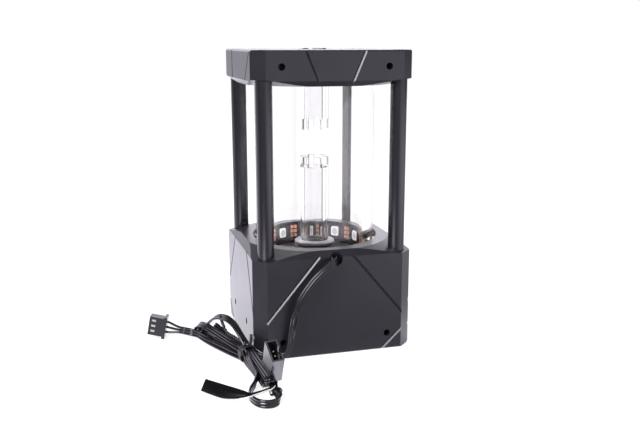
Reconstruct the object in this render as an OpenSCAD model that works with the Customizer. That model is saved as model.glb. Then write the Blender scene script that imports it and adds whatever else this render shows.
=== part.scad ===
// Coolant pump reservoir: a glass tube held between a square pump base and a cap by four
// pillars. A light ring sits round the foot of the glass, and its flat cable leaves by the
// -Y face. Millimetres, +Z up, origin at the centre of the base's underside.

/* [Base block] */
// Width and depth of the base
body_w = 80; // [80:1:90]
// Height of the base to its flat ring
body_h = 52.2; // [52:0.2:60]
// Leg of the vertical corner chamfers
corner_cut = 6.1; // [5:0.1:6.5]
// Leg of the bevel round the top edges
bevel = 3; // [2:0.1:3.5]
// Distance of the flat ring's rim from the side faces, where the cone to the corners starts
disc_in = 1.4; // [1:0.1:3.5]
// Fall of that cone, as height over radius
cone_slope = 0.25; // [0.15:0.01:0.3]
// Depth of the light recess round the glass
recess_depth = 10.2; // [9.6:0.2:12]
// Height of the boss under the lower tube
boss_h = 4.4; // [3:0.2:6]

/* [Cap] */
// Distance of the cap's side faces inside the base's
cap_in = 0.7; // [0:0.1:1]
// Height of the cap from its flat ring to its top
cap_h = 16.6; // [16:0.2:20]
// Leg of the bevel round its lower edges
cap_bevel = 2.6; // [2:0.1:3.4]
// Leg of the small bevel round its upper edges
cap_edge = 0.8; // [0.4:0.1:1.2]
// Depth of the glass groove, up from the flat ring
cap_groove = 9; // [6:0.5:10]
// Depth of the ceiling, up from the flat ring
cap_ceiling = 3.8; // [3.4:0.2:5]

/* [Glass tube] */
// Outer diameter of the glass
glass_od = 61; // [58:0.5:62]
// Wall of the glass
glass_wall = 5; // [4:0.25:5]
// Open height between the flat rings of base and cap
view_h = 78; // [60:1:160]
// Thickness of the flat seals under and over the glass
seal_t = 1.2; // [0.8:0.1:2]
// Gap between the glass and what surrounds it
glass_gap = 0.3; // [0.2:0.05:0.5]

/* [Pillars and screws] */
// Diameter of the pillars
pillar_d = 8; // [7:0.5:8.5]
// Distance of each pillar's axis inside the base's side faces
pillar_in = 7; // [6.5:0.1:7.5]
// Depth of the pillar seats
seat_depth = 2; // [1:0.5:3]
// Length of the pillar screws under their heads
pillar_screw_len = 20; // [18:1:24]

/* [Inner tubes] */
// Outer diameter of the clear inner tubes
tube_od = 14.7; // [14:0.1:16]
// Bore of the clear inner tubes
tube_bore = 9.5; // [9:0.1:10]
// Height of the crown of the lower tube over the base's flat ring
lower_tube_rise = 40.8; // [20:0.2:44]
// Drop of the upper tube under the cap's flat ring
upper_tube_drop = 23.2; // [10:0.2:30]
// Depth of the crown notches
notch_depth = 5.3; // [3:0.1:8]
// Width of the crown notches
notch_w = 3.4; // [2:0.1:4]
// Number of crown notches
notch_count = 6; // [4:1:8]
// Diameter of the chromed collars
collar_d = 21; // [19:0.5:22]
// Thickness of the chromed collars
collar_t = 2; // [1.6:0.1:3]
// Visible height of the ring seal next to each collar
collar_seal_t = 1.2; // [0.8:0.1:1.6]

/* [Light ring] */
// Number of light chips
led_count = 11; // [8:1:12]
// Width of the flexible strip
strip_w = 10; // [8:0.5:10]
// Side of each chip
chip_w = 5; // [3.5:0.5:5]
// Height of each chip over the strip
chip_t = 1.3; // [1:0.1:1.6]
// Thickness of the flexible strip
strip_t = 0.3; // [0.2:0.05:0.5]
// Direction of the first chip, in degrees
led_phase = 17.5; // [0:0.5:32]
// Height of the cable hole in the -Y face, under the flat ring
cable_drop = 4.2; // [3.8:0.1:5]
// Diameter of the cable hole
cable_hole_d = 6.5; // [6:0.1:7.5]

/* [Pump] */
// Outer radius of the impeller
impeller_r = 16; // [12:0.5:17]
// Outer radius of the motor housing
motor_r = 24; // [22:0.5:25]
// Height of the motor housing's flange over the base's underside
motor_top = 20.5; // [20:0.1:21.5]
// Land round the motor flange that the bottom cover is screwed to
cover_land = 6; // [5:0.5:7]
// Thickness of the motor flange
flange_t = 2.5; // [2:0.1:3]
// Radius of the bearing pin
pin_r = 1.5; // [1:0.1:2]
// Number of impeller vanes
vane_count = 6; // [4:1:8]
// Thickness of the bottom cover
cover_t = 2.7; // [2:0.1:3]

/* [Ports and fixings] */
// Bore of a G1/4 port, at the thread's inner diameter
port_bore = 11.8; // [11.4:0.1:12]
// Distance of the two ports from the middle plane
port_x = 14; // [12.5:0.5:15]
// Height of the two ports over the base's underside
port_z = 24; // [23:0.5:26]
// Depth of the ports
port_depth = 6.8; // [6:0.1:7]
// Tapped bore of an M4 fixing hole
m4_tap = 3.3; // [3.2:0.1:3.4]
// Depth of the M4 fixing holes
m4_depth = 8; // [5:0.5:8]
// Distance of the fixing holes low on the front and rear inside the pillars' axes
front_fix_in = 6.5; // [6:0.5:9]
// Height of those holes
front_fix_z = 8.3; // [7:0.1:10]
// Half the spacing of the fixing holes on the sides
side_fix_x = 16; // [12:0.5:20]
// Height of those holes
side_fix_z = 12.6; // [10:0.1:16]
// Distance of the fixing holes in the cap inside the pillars' axes
cap_fix_in = 7.2; // [7:0.1:11]
// Depth of the cap's front holes under its top
cap_fix_drop = 7.5; // [6:0.1:9]
// Depth of the cap's rear holes under its top
cap_rear_drop = 8.3; // [6:0.1:9]

/* [Cable] */
// Width of the flat three-core cable
ribbon_w = 3.9; // [3:0.1:4]
// Thickness of the flat three-core cable
ribbon_t = 1.3; // [1:0.1:1.4]
// Height of the tied hank
hank_h = 7; // [5:0.1:8]

/* [Hidden] */

$fn = 96;
eps = 0.01;
fit_gap = 0.05;                       // radial gap of parts that fit in one another
over = 1;                             // how far a cutter reaches past the face it cuts

// widths that follow the base's
cap_w = body_w - 2 * cap_in;
disc_r = body_w / 2 - disc_in;
pillar_at = body_w / 2 - pillar_in;
front_fix_x = pillar_at - front_fix_in;
cap_fix_x = pillar_at - cap_fix_in;

// heights, from the floor up
floor_z = body_h - recess_depth;      // floor of the chamber
boss_z = floor_z + boss_h;            // seat of the lower collar
cap_z = body_h + view_h;              // flat ring of the cap
total_h = cap_z + cap_h;
ceiling_z = cap_z + cap_ceiling;      // seat of the upper collar
glass_z0 = floor_z + seal_t;
glass_z1 = cap_z + cap_groove - seal_t;
cable_z = body_h - cable_drop;

// radii about the glass
glass_r = glass_od / 2;
glass_bore_r = glass_r - glass_wall;
seal_margin = 0.3;                    // how far the flat seals stay inside the glass wall
chip_r = glass_r + glass_gap;         // inner faces of the light chips
strip_r = sqrt(pow(chip_r + chip_t, 2) + pow(chip_w / 2, 2));
recess_r = strip_r + strip_t;         // wall of the light recess
cap_groove_r = glass_r + glass_gap;
cap_island_r = glass_bore_r - glass_gap;

// pillars and their screws
pillar_r = pillar_d / 2;
pillar_reach = pillar_at * sqrt(2);
base_seat_z = body_h - cone_slope * (pillar_reach - disc_r) - seat_depth;
cap_seat_z = cap_z + cone_slope * (pillar_reach - disc_r) + seat_depth;
m4_r = 2;
m4_head_r = 3.5;
m4_head_h = 4;
m4_key = 3;                           // width across flats of the key socket
m4_clear = 0.2;
base_screw_grip = 11;                 // from the head's seat to the pillar's foot
cap_screw_z = total_h - m4_head_h - m4_clear;
base_screw_z = base_seat_z - base_screw_grip;

// ports and the fill plug
thread_gap = 0.3;                     // plain male shanks stay this far off a port's bore
spigot_r = port_bore / 2 - thread_gap;
spigot_len = 5.6;
plug_head_r = 8.5;
plug_head_h = 2.5;
plug_dome_r = 6.2;
plug_dome_h = 0.7;
plug_key = 6;
plug_seal_t = 1.2;
plug_well_r = plug_head_r + 0.3;
plug_seat_z = total_h - plug_head_h - plug_seal_t - 0.1;
port_face_r = 10;
port_face_depth = 0.4;
channel_r = 2.6;
channel_drop = 5.5;                   // from the chamber's floor to the middle of the channel
riser_r = 3;
riser_wall = 1.6;                     // left between the riser and the rear face
well_floor = 8.6;                     // depth of the boss's threaded bore under the chamber's floor
spigot_well = boss_h + well_floor;
channel_z = floor_z - channel_drop;
riser_y = body_w / 2 - riser_wall - riser_r;
outlet_r = 2.4;

// pump, from the bottom cover up
cover_edge = 4;                       // wall of the base round the bottom cover
cover_r = body_w / 2 - cover_edge;
flange_r = cover_r - cover_land;
cover_z0 = 0.3;
cover_z1 = cover_z0 + cover_t;
cover_rim_h = 1;
cover_screw_ring = (cover_r + flange_r) / 2;
m3_r = 1.45;
m3_head_r = 2.8;
m3_len = 8;
pocket_gap = 0.4;
pocket_r = flange_r + pocket_gap;
motor_z0 = cover_z1 + cover_rim_h;
motor_wall = 1.4;
well_r = 9.6;                         // wet well that the rotor turns in
well_wall = 0.8;
board_room = 2.4;                     // room for the board under the wet well
well_z = motor_z0 + board_room;
rotor_gap = 0.5;
magnet_r = well_r - rotor_gap;
scroll_w = 3;                         // room round the impeller
chamber_r = impeller_r + scroll_w;
impeller_z0 = motor_top + rotor_gap;
impeller_disc_t = 1.2;
impeller_vane_h = 3;
impeller_shroud_t = 1;
impeller_z1 = impeller_z0 + impeller_disc_t + impeller_vane_h + impeller_shroud_t;
eye_r = 6;
eye_lip = 0.4;
bush_r = 3.2;
hub_wall = 1;
hub_h = 2;                            // height of the hub over the impeller's disc
bush_in = 0.4;                        // how far the bush ends below the hub's top
vane_t = 1;
vane_end_gap = 0.3;
vane_arc_r = impeller_r * 0.55;
intake_t = 1.2;
intake_gap = 0.6;
intake_z0 = impeller_z1 + intake_gap;
intake_z1 = intake_z0 + intake_t;
outlet_z = (motor_top + intake_z1) / 2;
plenum_step = 1.2;                    // ledge that stops the intake plate
plenum_r = chamber_r - plenum_step;
plenum_h = 2.3;
plenum_z1 = intake_z1 + plenum_h;
intake_hole_r = 3.2;
intake_hole_ring = 14.3;
intake_phase = 73;
pin_in = 0.8;                         // how far the pin ends below the impeller's top
pin_z1 = impeller_z1 - pin_in;
pin_floor = 0.4;                      // floor left under the pin
pin_boss_wall = 1.2;
pin_boss_h = 1.2;
pin_boss_z = well_z + well_wall + pin_boss_h;
bush_gap = 0.2;
magnet_gap = 0.6;
magnet_z0 = pin_boss_z + magnet_gap;
magnet_in = 1;
magnet_z1 = motor_top - magnet_in;
seal_cord = 1.4;                      // thickness of the pump's ring seal
seal_groove_in = 0.6;
seal_groove_r = (motor_r + flange_r) / 2 - seal_groove_in;
cable_notch_w = 5;                    // way out for the pump's cable, in the housing's rim
cable_notch_h = 3;
stator_lift = 1.8;
stator_z0 = well_z + stator_lift;
stator_h = 7;
stator_r = motor_r - motor_wall - fit_gap;
stator_yoke = 3.2;
tooth_r = well_r + well_wall + fit_gap;
tooth_w = 4.4;
tooth_tip_t = 1.4;
tooth_count = 6;
coil_side = 1.6;
coil_end = 1.4;
coil_in = 2;                          // from the tooth's face to the coil
coil_out = 0.6;
board_t = 1.2;
board_gap = 0.2;
board_r = motor_r - motor_wall - board_gap;
chip_block = 4;                       // side of the parts under the board
chip_block_h = 1.1;
chip_block_in = 8;
grommet_hole_r = 3.5;
grommet_flange_r = 4.6;
grommet_bore_r = 2;
grommet_z = 9.5;

// grooves on the side faces: [[across, up], [across, up]] at both ends
groove_w = 1.8;
groove_depth = 0.6;
side_reach = body_w / 2 - corner_cut + 1;
front_lines = [[[-7.2, body_h - bevel + 2], [-side_reach, 18]],
               [[7.2, body_h - bevel + 2], [side_reach, 18]],
               [[-side_reach, 10.9], [-22.4, -1]],
               [[side_reach, 10.9], [22.4, -1]]];
side_lines = [[[-11.2, body_h - bevel + 2], [-side_reach, 19.5]],
              [[18.7, body_h - bevel + 2], [side_reach, 21]],
              [[-side_reach, 10.9], [-22.4, -1]],
              [[side_reach, 10.9], [22.4, -1]]];
cap_front_lines = [[[-14.8, total_h + 1], [-7.2, cap_z]], [[14.8, total_h + 1], [7.2, cap_z]]];
cap_side_lines = [[[-15, total_h + 1], [-14, cap_z]], [[32.6, total_h + 1], [17.8, cap_z]]];

// flat cable: points along its free stretches, and [point number, direction of its width]
lead_route = [[0, -36, 48], [0, -40, 48], [-0.6, -42, 47.8], [-3, -43.8, 47], [-6, -44.6, 45.2],
    [-9, -45, 42.8], [-12, -45, 40], [-14.6, -45, 36.8], [-17.2, -45, 33.2], [-19.4, -45, 29.6],
    [-21, -45, 25.6], [-22.2, -45, 21], [-23, -44.8, 16], [-23.8, -44.4, 11], [-24.8, -43.8, 6.4],
    [-26.8, -43.4, 3.4], [-30, -43, 2.3], [-34, -42.6, 2.4], [-38, -41.4, 3.6], [-42, -39.4, 5]];
lead_sides = [[0, [0, 0, 1]], [3, [-0.5, 0, 0.8]], [6, [-0.7, 0, 0.6]], [10, [-1, 0, 0.3]], [13, [-1, 0, 0.1]],
    [15, [-0.6, -0.6, 0.5]], [17, [0, -0.5, 1]], [19, [0, -0.3, 1]]];
loop_route = [[-59.6, -2.6, 5], [-58.6, -4.6, 9.1], [-57.7, -6.5, 10.8], [-56.5, -9.3, 13], [-55, -12.9, 15],
    [-53.5, -16.4, 16.2], [-51.3, -21.5, 16.8], [-49.1, -26.4, 16], [-47.7, -29.4, 14.4], [-46.6, -32, 12.2],
    [-45.9, -33.7, 9.6], [-45.6, -34.4, 7.2]];
loop_sides = [[0, [0.9, 0.4, 0]], [11, [0.9, 0.4, 0]]];
plug_route = [[-78, 4.6, 5.9], [-75, 3.6, 6], [-72, 2.6, 5.6], [-69, 1.8, 4.8], [-66, 0.8, 4], [-62, -0.6, 3.6]];
plug_sides = [[0, [0, 0, 1]], [5, [0, 0.3, 1]]];
header_route = [[-38.5, -68.9, 7.4], [-38.4, -68, 5.4], [-38, -68, 3.4], [-37.2, -69.6, 2.4], [-36.6, -72.4, 2.2],
    [-36.6, -76, 2.2], [-37.2, -79.8, 2.2], [-38.6, -83.6, 2.2], [-41, -86.6, 2.2], [-44.2, -87.8, 2.2],
    [-47.6, -86.8, 2.2], [-50, -83.8, 2.2], [-50.6, -80.4, 2.2], [-50, -77, 2.4], [-48.8, -73.6, 2.8],
    [-47.6, -70, 3], [-46.6, -66, 3.2]];
header_sides = [[0, [1, 0.1, 0.2]], [2, [1, 0.1, 0.4]], [4, [0.8, 0, 1]], [6, [0, 0, 1]], [16, [0, 0, 1]]];
flag_route = [[-69.6, -68.3, 3.1], [-66, -72.4, 3.2], [-62.6, -75.6, 3.3], [-59.2, -77.6, 3.2],
    [-55.8, -78.4, 2.8], [-52.8, -78, 2.4], [-49.8, -77.6, 2.2]];
flag_sides = [[0, [0.15, 0.1, 1]], [3, [0, 0.2, 1]], [6, [0.2, 0.9, 0.5]]];
flag_w = 5.8;
flag_t = 0.5;
hank_line = [[-60.2, -0.8, 4.2], [-43.9, -38.5, 3.6], [-44.2, -70.5, 2.6]];   // [x, y, half width]
tie_w = 3;
tie_t = 0.6;
sleeve_in = 2.5;                      // how deep the sleeve sits in the cable hole

// the two connectors: [place, turn]
header_pose = [[-40.6, -73.8, 4], [31, -4, 4.5]];
header_size = [5.5, 11.5, 14.7];
header_wall = 0.8;
header_floor = 6.5;
header_key_w = 4;                     // notch in the mouth's rim
header_key_h = 5;
pin_pitch = 2.54;
pin_w = 0.64;
pin_len = 6;
plug_pose = [[-78.4, 7.8, 0.2], [0, -11, 164]];
plug_size = [9, 5, 9.8];
plug_flange = [1.6, 6, 11.6];
window_pitch = 2.8;
window_w = 1.5;

// ---------- helpers ----------

module corner_cut_square(w, cut) {
    h = w / 2;
    polygon([[-h + cut, -h], [h - cut, -h], [h, -h + cut], [h, h - cut],
             [h - cut, h], [-h + cut, h], [-h, h - cut], [-h, -h + cut]]);
}

// straight 45 degree cut along the four edges at height z, facing up or down
module edge_bevels(w, z, leg, up) {
    s = up ? 1 : -1;
    for (turn = [0:90:270])
        rotate([0, 0, turn]) rotate([90, 0, 90]) linear_extrude(w + 2 * over, center = true)
            polygon([[-w / 2 - over, z - s * (leg + over)], [-w / 2 + leg + over, z + s * over],
                     [-w / 2 - over, z + s * over]]);
}

// block with cut corners, a flat ring on top, a cone from it to the corners and bevelled edges
module ring_topped_block(w, h, leg) {
    difference() {
        intersection() {
            linear_extrude(h + over) corner_cut_square(w, corner_cut);
            rotate_extrude()
                polygon([[0, -over], [w, -over], [w, h - cone_slope * (w - disc_r)], [disc_r, h], [0, h]]);
        }
        edge_bevels(w, h, leg, true);
    }
}

// V grooves on the face at y = -w/2
module grooves(w, lines) {
    for (line = lines) {
        run = line[1] - line[0];
        translate([line[0].x, -w / 2, line[0].y])
            rotate([0, atan2(run.x, run.y), 0])
                linear_extrude(norm(run))
                    polygon([[-groove_w / 2 - 0.1, -0.2], [groove_w / 2 + 0.1, -0.2], [0, groove_depth]]);
    }
}

module face_holes(w, xs, z, r, depth) {
    for (x = xs)
        translate([x, -w / 2 - over, z]) rotate([-90, 0, 0]) cylinder(r = r, h = depth + over);
}

module at_pillars() {
    for (sx = [-1, 1], sy = [-1, 1]) translate([sx * pillar_at, sy * pillar_at, 0]) children();
}

module ring(r_in, r_out, h) {
    difference() {
        cylinder(r = r_out, h = h);
        translate([0, 0, -over]) cylinder(r = r_in, h = h + 2 * over);
    }
}

// round rod between two points
module rod(from, to, r) {
    run = to - from;
    translate(from) rotate([0, acos(run.z / norm(run)), atan2(run.y, run.x)]) cylinder(r = r, h = norm(run));
}

module hex_socket(key, depth) {
    translate([0, 0, -depth]) cylinder(r = key / sqrt(3), h = depth + over, $fn = 6);
}

// socket head screw with its head's seat at z = 0, pointing down
module socket_screw(len) {
    difference() {
        union() {
            cylinder(r = m4_head_r, h = m4_head_h);
            translate([0, 0, -len]) cylinder(r = m4_r, h = len);
        }
        translate([0, 0, m4_head_h]) hex_socket(m4_key, 2.4);
    }
}

// ---------- base and cap ----------

module base_block() {
    color("#3b3a40") difference() {
        ring_topped_block(body_w, body_h, bevel);
        edge_bevels(body_w, 0, 0.6, false);
        light_recess();
        pump_pocket();
        water_ways();
        base_holes();
        grooves(body_w, front_lines);
        rotate([0, 0, 180]) grooves(body_w, front_lines);
        rotate([0, 0, -90]) grooves(body_w, side_lines);
        rotate([0, 0, 90]) mirror([1, 0, 0]) grooves(body_w, side_lines);
    }
}

module light_recess() {
    translate([0, 0, floor_z]) difference() {
        cylinder(r = recess_r, h = recess_depth + over);
        translate([0, 0, -over]) cylinder(d = collar_d, h = boss_h + over);
    }
    translate([0, -body_w / 2 - over, cable_z]) rotate([-90, 0, 0])
        cylinder(d = cable_hole_d, h = body_w / 2 + over - recess_r + over);
}

module pump_pocket() {
    translate([0, 0, -over]) cylinder(r = cover_r + 0.2, h = cover_z1 + over);
    cylinder(r = pocket_r, h = motor_top);
    translate([0, 0, motor_top - over]) cylinder(r = chamber_r, h = intake_z1 - motor_top + over);
    cylinder(r = plenum_r, h = plenum_z1);
    translate([0, body_w / 2 + over, grommet_z]) rotate([90, 0, 0]) {
        cylinder(r = grommet_hole_r, h = body_w / 2 - pocket_r + 3 * over);
        cylinder(r = grommet_flange_r, h = 2 * over);
    }
}

module water_ways() {
    // two ports on the rear face
    for (x = [-port_x, port_x]) translate([x, body_w / 2 + over, port_z]) rotate([90, 0, 0]) {
        cylinder(d = port_bore, h = port_depth + over);
        cylinder(r = port_face_r, h = port_face_depth + over);
    }
    // inlet: up beside the recess, then across under the floor to the boss
    rod([-port_x, riser_y, port_z], [-port_x, riser_y, channel_z + channel_r + 0.2], riser_r);
    rod([-port_x, riser_y, channel_z], [0, 0, channel_z], channel_r);
    translate([0, 0, boss_z - spigot_well])
        cylinder(d = port_bore, h = spigot_well + over);
    // outlet: along the side of the impeller chamber
    rod([port_x, 0, outlet_z], [port_x, body_w / 2 - port_depth + over, outlet_z], outlet_r);
    // intake holes from the chamber's floor to the plenum
    for (k = [0:3]) rotate([0, 0, intake_phase + 90 * k])
        translate([intake_hole_ring, 0, plenum_z1 - over])
            cylinder(r = intake_hole_r, h = floor_z - plenum_z1 + 2 * over);
}

module base_holes() {
    for (turn = [0, 180]) rotate([0, 0, turn])
        face_holes(body_w, [-front_fix_x, front_fix_x], front_fix_z, m4_tap / 2, m4_depth);
    for (turn = [-90, 90]) rotate([0, 0, turn])
        face_holes(body_w, [-side_fix_x, side_fix_x], side_fix_z, m4_tap / 2, m4_depth);
    at_pillars() {
        translate([0, 0, -over]) cylinder(r = m4_head_r + m4_clear, h = base_screw_z + over);
        translate([0, 0, base_screw_z - over]) cylinder(r = m4_r + m4_clear, h = body_h);
        translate([0, 0, base_seat_z]) cylinder(r = pillar_r + fit_gap, h = body_h);
    }
    for (k = [0:5]) rotate([0, 0, 60 * k]) translate([cover_screw_ring, 0, 0])
        cylinder(r = m3_r + fit_gap, h = cover_z0 + m3_len + 0.5);
}

module top_cap() {
    color("#3b3a40") difference() {
        translate([0, 0, total_h]) mirror([0, 0, 1]) ring_topped_block(cap_w, cap_h, cap_bevel);
        edge_bevels(cap_w, total_h, cap_edge, true);
        translate([0, 0, cap_z - over]) ring(cap_island_r, cap_groove_r, cap_groove + over);
        translate([0, 0, cap_z - over]) cylinder(r = cap_island_r + over, h = cap_ceiling + over);
        translate([0, 0, cap_z]) cylinder(d = port_bore, h = cap_h + over);
        translate([0, 0, plug_seat_z]) cylinder(r = plug_well_r, h = cap_h);
        at_pillars() {
            translate([0, 0, cap_screw_z]) cylinder(r = m4_head_r + m4_clear, h = cap_h);
            translate([0, 0, cap_z]) cylinder(r = m4_r + m4_clear, h = cap_h);
            translate([0, 0, cap_z - over]) cylinder(r = pillar_r + fit_gap, h = cap_seat_z - cap_z + over);
        }
        face_holes(cap_w, [-cap_fix_x, cap_fix_x], total_h - cap_fix_drop, m4_tap / 2, m4_depth);
        rotate([0, 0, 180])
            face_holes(cap_w, [-cap_fix_x, cap_fix_x], total_h - cap_rear_drop, m4_tap / 2, m4_depth);
        grooves(cap_w, cap_front_lines);
        rotate([0, 0, 180]) grooves(cap_w, cap_front_lines);
        rotate([0, 0, -90]) grooves(cap_w, cap_side_lines);
        rotate([0, 0, 90]) mirror([1, 0, 0]) grooves(cap_w, cap_side_lines);
    }
}

// ---------- glass, seals, pillars and screws ----------

module glass_tube() {
    color([0.85, 0.92, 0.95, 0.35]) translate([0, 0, glass_z0])
        ring(glass_bore_r, glass_r, glass_z1 - glass_z0);
}

module glass_seal(z) {
    color("#1c1c1e") translate([0, 0, z]) ring(glass_bore_r + seal_margin, glass_r - seal_margin, seal_t);
}

module lower_glass_seal() { glass_seal(floor_z); }

module upper_glass_seal() { glass_seal(glass_z1); }

module pillar(sx, sy) {
    color("#2b2b2e") translate([sx * pillar_at, sy * pillar_at, base_seat_z]) difference() {
        cylinder(r = pillar_r, h = cap_seat_z - base_seat_z);
        translate([0, 0, -over])
            cylinder(r = m4_r + fit_gap, h = pillar_screw_len - base_screw_grip + 2 * over);
        translate([0, 0, cap_screw_z - pillar_screw_len - base_seat_z - over])
            cylinder(r = m4_r + fit_gap, h = cap_h + pillar_screw_len);
    }
}

module pillar_front_left() { pillar(-1, -1); }

module pillar_front_right() { pillar(1, -1); }

module pillar_rear_left() { pillar(-1, 1); }

module pillar_rear_right() { pillar(1, 1); }

module cap_screws() {
    color("#202022") at_pillars() translate([0, 0, cap_screw_z]) socket_screw(pillar_screw_len);
}

module base_screws() {
    color("#202022") at_pillars() translate([0, 0, base_screw_z]) mirror([0, 0, 1])
        socket_screw(pillar_screw_len);
}

// ---------- inner tubes ----------

// collar with its seat at z = 0: a flange that takes the tube, over a threaded spigot
module collar() {
    edge = 0.4;
    color("silver") rotate_extrude() polygon([
        [tube_bore / 2 - 0.6, -spigot_len], [spigot_r - edge, -spigot_len], [spigot_r, edge - spigot_len],
        [spigot_r, 0], [spigot_r, collar_seal_t], [collar_d / 2 - edge, collar_seal_t],
        [collar_d / 2, collar_seal_t + edge], [collar_d / 2, collar_seal_t + collar_t * 0.6],
        [collar_d / 2 - edge, collar_seal_t + collar_t * 0.75], [tube_od / 2 + 0.8, collar_seal_t + collar_t],
        [tube_od / 2 + fit_gap, collar_seal_t + collar_t], [tube_od / 2 + fit_gap, collar_seal_t + collar_t * 0.4],
        [tube_bore / 2 - 0.6, collar_seal_t + collar_t * 0.4]]);
}

module collar_seal() {
    ring_r = spigot_r + fit_gap;
    color("#151516") rotate_extrude() translate([(ring_r + collar_d / 2 - 0.8) / 2, collar_seal_t / 2])
        square([collar_d / 2 - 0.8 - ring_r, collar_seal_t], center = true);
}

// clear tube that stands on its collar and ends in a crown of notches
module crowned_tube(len) {
    color([0.9, 0.95, 1, 0.4]) difference() {
        ring(tube_bore / 2, tube_od / 2, len);
        for (k = [0:notch_count - 1]) rotate([0, 0, 360 / notch_count * k])
            translate([0, -notch_w / 2, len - notch_depth]) cube([tube_od, notch_w, notch_depth + over]);
    }
}

tube_foot = collar_seal_t + collar_t * 0.4;

module lower_inlet_tube() {
    translate([0, 0, boss_z + tube_foot]) crowned_tube(body_h + lower_tube_rise - boss_z - tube_foot);
}

module lower_collar() { translate([0, 0, boss_z]) collar(); }

module lower_collar_seal() { translate([0, 0, boss_z]) collar_seal(); }

module upper_inlet_tube() {
    translate([0, 0, ceiling_z - tube_foot]) mirror([0, 0, 1])
        crowned_tube(upper_tube_drop + cap_ceiling - tube_foot);
}

module upper_collar() { translate([0, 0, ceiling_z]) mirror([0, 0, 1]) collar(); }

module upper_collar_seal() { translate([0, 0, ceiling_z]) mirror([0, 0, 1]) collar_seal(); }

// ---------- fill plug ----------

module fill_plug() {
    color("#3b3a40") translate([0, 0, plug_seat_z + plug_seal_t]) difference() {
        union() {
            cylinder(r = plug_head_r, h = plug_head_h);
            translate([0, 0, plug_head_h]) cylinder(r = plug_dome_r, h = plug_dome_h);
            translate([0, 0, -plug_seal_t - spigot_len / 2]) cylinder(r = spigot_r, h = plug_seal_t + spigot_len / 2);
        }
        translate([0, 0, plug_head_h + plug_dome_h]) hex_socket(plug_key, 3);
    }
}

module fill_plug_seal() {
    color("#151516") translate([0, 0, plug_seat_z])
        ring(spigot_r + thread_gap, plug_head_r - 0.6, plug_seal_t);
}

// ---------- light ring ----------

module led_strip() {
    color("#1d1b1f") translate([0, 0, floor_z]) difference() {
        ring(strip_r, recess_r, strip_w);
        translate([0, -recess_r, strip_w / 2]) cube([1, 4, strip_w + over], center = true);
    }
}

module led_chips() {
    color("#f4f2ea") for (k = [0:led_count - 1]) rotate([0, 0, led_phase + 360 / led_count * k])
        translate([chip_r, -chip_w / 2, floor_z + strip_w / 2 - chip_w / 2]) cube([chip_t, chip_w, chip_w]);
}

module cable_sleeve() {
    color("#121213") translate([0, sleeve_in - body_w / 2, cable_z]) rotate([-90, 0, 0]) difference() {
        cylinder(d = cable_hole_d - 2 * fit_gap, h = body_w / 2 - recess_r - 0.5 - sleeve_in);
        translate([0, 0, -over]) cylinder(r = ribbon_w / 2 - fit_gap, h = body_w / 2);
    }
}

// ---------- pump ----------

module intake_plate() {
    color("#5b5b60") translate([0, 0, intake_z0]) ring(eye_r + eye_lip, chamber_r - fit_gap, intake_t);
}

// cup that carries the stator outside and lets the rotor turn in a wet well inside
module pump_housing() {
    color("#26262a") difference() {
        housing_shell();
        translate([0, 0, motor_top - seal_cord - fit_gap])
            ring(seal_groove_r - seal_cord / 2 - fit_gap, seal_groove_r + seal_cord / 2 + fit_gap,
                seal_cord + over);
        translate([-cable_notch_w / 2, well_r, motor_z0 - over])
            cube([cable_notch_w, motor_r, cable_notch_h + over]);
    }
}

module housing_shell() {
    rotate_extrude() polygon([
        [0, well_z], [well_r + well_wall, well_z], [well_r + well_wall, motor_top - flange_t],
        [motor_r - motor_wall, motor_top - flange_t], [motor_r - motor_wall, motor_z0],
        [motor_r, motor_z0], [motor_r, motor_top - flange_t], [flange_r, motor_top - flange_t],
        [flange_r, motor_top], [well_r, motor_top], [well_r, well_z + well_wall],
        [pin_r + pin_boss_wall, well_z + well_wall], [pin_r + pin_boss_wall, pin_boss_z],
        [pin_r, pin_boss_z], [pin_r, well_z + pin_floor], [0, well_z + pin_floor]]);
}

module pump_seal() {
    color("#151516") rotate_extrude() translate([seal_groove_r, motor_top - seal_cord / 2])
        circle(d = seal_cord);
}

module bearing_pin() {
    color("white") translate([0, 0, well_z + pin_floor]) cylinder(r = pin_r, h = pin_z1 - well_z - pin_floor);
}

module vane() {
    intersection() {
        translate([vane_arc_r, 0]) difference() {
            circle(r = vane_arc_r + vane_t / 2);
            circle(r = vane_arc_r - vane_t / 2);
        }
        square(2 * impeller_r);
        difference() {
            circle(r = impeller_r - vane_end_gap);
            circle(r = eye_r + eye_lip);
        }
    }
}

module impeller() {
    color("#8d6b3e") difference() {
        union() {
            translate([0, 0, impeller_z0]) cylinder(r = impeller_r, h = impeller_disc_t);
            translate([0, 0, magnet_z1]) cylinder(r = magnet_r, h = impeller_z0 - magnet_z1 + eps);
            translate([0, 0, impeller_z0 + impeller_disc_t - eps]) linear_extrude(impeller_vane_h + 2 * eps)
                for (k = [0:vane_count - 1]) rotate(360 / vane_count * k) vane();
            translate([0, 0, impeller_z1 - impeller_shroud_t]) ring(eye_r, impeller_r, impeller_shroud_t);
            translate([0, 0, impeller_z0]) cylinder(r = bush_r + hub_wall, h = impeller_disc_t + hub_h);
        }
        translate([0, 0, motor_top - 2 * over]) cylinder(r = bush_r, h = impeller_z1);
    }
}

module rotor_magnet() {
    color("#4a4a4e") translate([0, 0, magnet_z0]) ring(bush_r, magnet_r, magnet_z1 - magnet_z0);
}

module rotor_bush() {
    bottom = pin_boss_z + bush_gap;
    color("#d8cfc0") translate([0, 0, bottom])
        ring(pin_r + fit_gap, bush_r, impeller_z0 + impeller_disc_t + hub_h - bush_in - bottom);
}

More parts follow.
